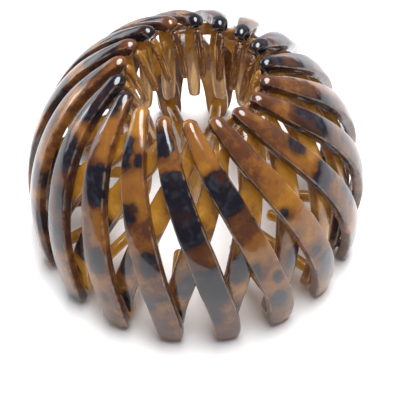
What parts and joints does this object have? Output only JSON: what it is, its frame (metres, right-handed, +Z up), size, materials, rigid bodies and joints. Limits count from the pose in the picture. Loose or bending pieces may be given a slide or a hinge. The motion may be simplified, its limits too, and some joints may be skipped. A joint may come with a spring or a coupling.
{
  "type": "expandable ponytail holder",
  "caption": "Dome-shaped hair holder made of two crossing layers of curved tortoiseshell slats, open at the foot, with comb teeth around a round throat at the top.",
  "frame": {"origin": "on the axis of the ring, at the height of the table that the feet of the outer slats stand on", "axes": "+Z up along the axis of the ring, out through the throat; -Y towards the camera of the picture"},
  "size_m": [0.08, 0.0792, 0.0516],
  "materials": {
    "outer_tortoiseshell": "clear gloss over amber plastic with brown and black blotches",
    "inner_tortoiseshell": "clear gloss over honey plastic with brown blotches"
  },
  "bodies": {
    "root": {"outer_slat_01": "outer_tortoiseshell", "outer_slat_02": "outer_tortoiseshell", "outer_slat_03": "outer_tortoiseshell", "outer_slat_04": "outer_tortoiseshell", "outer_slat_05": "outer_tortoiseshell", "outer_slat_06": "outer_tortoiseshell", "outer_slat_07": "outer_tortoiseshell", "outer_slat_08": "outer_tortoiseshell", "outer_slat_09": "outer_tortoiseshell", "outer_slat_10": "outer_tortoiseshell", "outer_slat_11": "outer_tortoiseshell", "outer_slat_12": "outer_tortoiseshell", "outer_slat_13": "outer_tortoiseshell", "outer_slat_14": "outer_tortoiseshell", "outer_slat_15": "outer_tortoiseshell", "outer_slat_16": "outer_tortoiseshell", "outer_slat_17": "outer_tortoiseshell", "outer_slat_18": "outer_tortoiseshell", "inner_slat_01": "inner_tortoiseshell", "inner_slat_02": "inner_tortoiseshell", "inner_slat_03": "inner_tortoiseshell", "inner_slat_04": "inner_tortoiseshell", "inner_slat_05": "inner_tortoiseshell", "inner_slat_06": "inner_tortoiseshell", "inner_slat_07": "inner_tortoiseshell", "inner_slat_08": "inner_tortoiseshell", "inner_slat_09": "inner_tortoiseshell", "inner_slat_10": "inner_tortoiseshell", "inner_slat_11": "inner_tortoiseshell", "inner_slat_12": "inner_tortoiseshell", "inner_slat_13": "inner_tortoiseshell", "inner_slat_14": "inner_tortoiseshell", "inner_slat_15": "inner_tortoiseshell", "inner_slat_16": "inner_tortoiseshell", "inner_slat_17": "inner_tortoiseshell", "inner_slat_18": "inner_tortoiseshell"}
  },
  "joints": []
}
